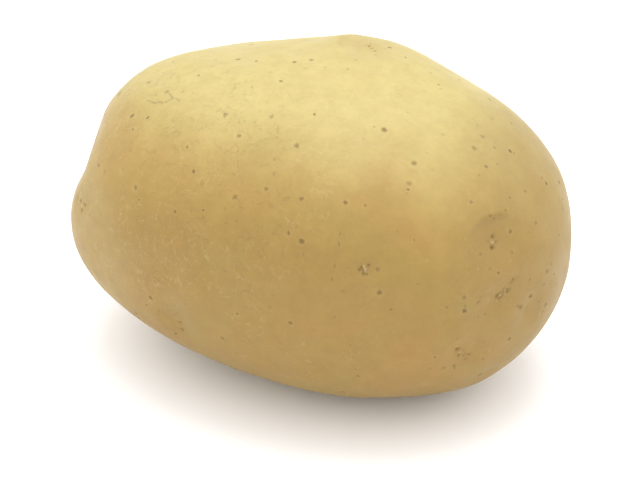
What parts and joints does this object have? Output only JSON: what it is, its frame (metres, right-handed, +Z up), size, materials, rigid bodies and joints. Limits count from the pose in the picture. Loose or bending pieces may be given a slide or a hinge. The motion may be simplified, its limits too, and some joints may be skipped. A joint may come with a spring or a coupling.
{
  "type": "potato",
  "caption": "Table potato lying on its side: one smooth-skinned oblong tuber with shallow eyes that crowd towards its rose end.",
  "frame": {"origin": "on the ground, under the middle of the tuber's outline as it lies", "axes": "+X along the tuber towards its rose end, where most of the eyes are; +Z up"},
  "size_m": [0.1014, 0.0734, 0.0646],
  "materials": {
    "skin": "satin"
  },
  "bodies": {
    "root": {"tuber": "skin"}
  },
  "joints": []
}
